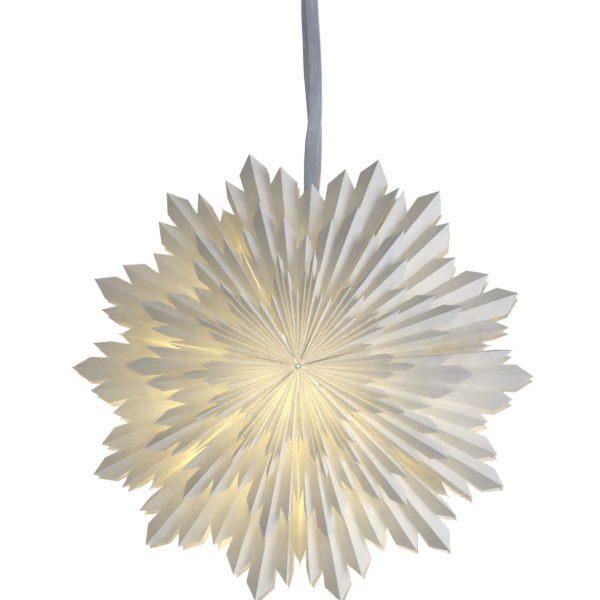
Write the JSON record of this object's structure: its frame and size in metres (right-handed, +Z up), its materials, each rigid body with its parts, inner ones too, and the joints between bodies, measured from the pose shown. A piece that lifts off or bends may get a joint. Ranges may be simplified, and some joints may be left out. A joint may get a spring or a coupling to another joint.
{
  "type": "paper advent star",
  "caption": "Pleated paper advent star with stacked tiers of pointed leaves in tube-shaped units, a bulb at its centre and a ribbon loop to hang it by.",
  "frame": {"origin": "top of the ribbon loop, where the star hangs", "axes": "+Z up, front of the star facing -Y, +X to the right as seen from the front; star's centre 515 mm below the origin"},
  "size_m": [0.5998, 0.184, 0.8105],
  "materials": {
    "paper": "matt white translucent paper, lit warm from inside",
    "eyelet": "plain white",
    "bulb": "opal glass, lit",
    "cap": "plain screw cap",
    "holder": "plain white",
    "ribbon": "woven ribbon, grey-blue"
  },
  "bodies": {
    "root": {"outer_unit_1": "paper", "outer_unit_2": "paper", "outer_unit_3": "paper", "outer_unit_4": "paper", "outer_unit_5": "paper", "outer_unit_6": "paper", "outer_unit_7": "paper", "front_middle_1": "paper", "front_middle_2": "paper", "front_middle_3": "paper", "front_middle_4": "paper", "front_middle_5": "paper", "front_middle_6": "paper", "front_middle_7": "paper", "front_inner_1": "paper", "front_inner_2": "paper", "front_inner_3": "paper", "front_inner_4": "paper", "front_inner_5": "paper", "front_inner_6": "paper", "front_inner_7": "paper", "back_middle_1": "paper", "back_middle_2": "paper", "back_middle_3": "paper", "back_middle_4": "paper", "back_middle_5": "paper", "back_middle_6": "paper", "back_middle_7": "paper", "back_inner_1": "paper", "back_inner_2": "paper", "back_inner_3": "paper", "back_inner_4": "paper", "back_inner_5": "paper", "back_inner_6": "paper", "back_inner_7": "paper", "front_eyelet": "eyelet", "back_eyelet": "eyelet", "bulb_glass": "bulb", "bulb_cap": "cap", "lampholder": "holder", "cord_grip": "holder", "ribbon_tie": "ribbon", "ribbon": "ribbon"}
  },
  "joints": []
}
